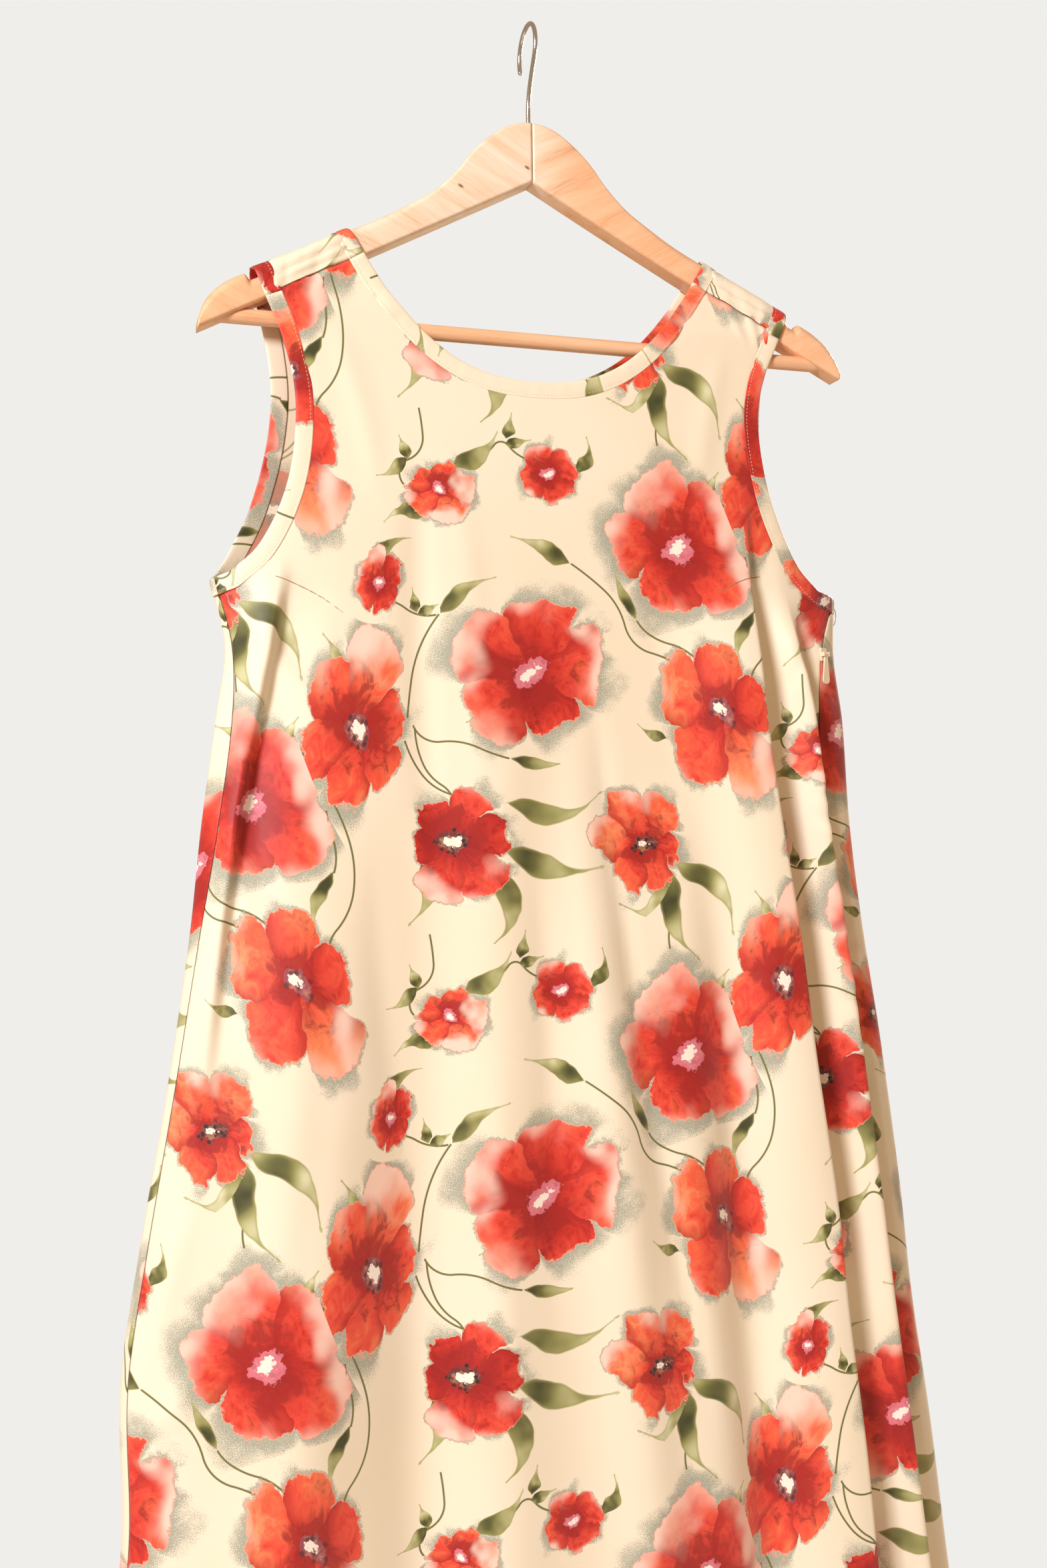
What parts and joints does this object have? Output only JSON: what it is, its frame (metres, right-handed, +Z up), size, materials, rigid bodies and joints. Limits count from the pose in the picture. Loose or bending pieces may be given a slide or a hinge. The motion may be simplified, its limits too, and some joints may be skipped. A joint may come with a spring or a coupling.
{
  "type": "maxi dress on a wooden hanger",
  "caption": "Sleeveless A-line maxi dress in cream crepe with red poppies, bound scoop neck and armholes, right side zip, on a contoured wooden hanger.",
  "frame": {"origin": "the point of the hook's inner top that bears on a rail", "axes": "+Z up, the front of the dress faces -Y, +X to the viewer's right"},
  "size_m": [0.684, 0.1084, 1.4631],
  "materials": {
    "printed_crepe": "woven, soft satin sheen, poppy print on cream",
    "beech": "clear satin lacquer",
    "chrome_wire": "bright plated",
    "cream_nylon": "dyed cream, low gloss"
  },
  "bodies": {
    "dress_and_hanger": {"dress_front": "printed_crepe", "dress_back": "printed_crepe", "neck_binding_front": "printed_crepe", "neck_binding_back": "printed_crepe", "armhole_binding_left_front": "printed_crepe", "armhole_binding_left_back": "printed_crepe", "armhole_binding_right_front": "printed_crepe", "armhole_binding_right_back": "printed_crepe", "hanger_arm_left": "beech", "hanger_arm_right": "beech", "hanger_bar": "beech", "hanger_hook": "chrome_wire", "zip_slider": "cream_nylon"},
    "zip_pull": {"zip_pull": "cream_nylon"}
  },
  "joints": [
    {"name": "pull_swing", "type": "hinge", "parent": "dress_and_hanger", "child": "zip_pull", "pos_m": [0.20848, -0.0201, -0.424], "axis": [-0.9579, -0.287, 0], "range_deg": [0, 150]}
  ]
}
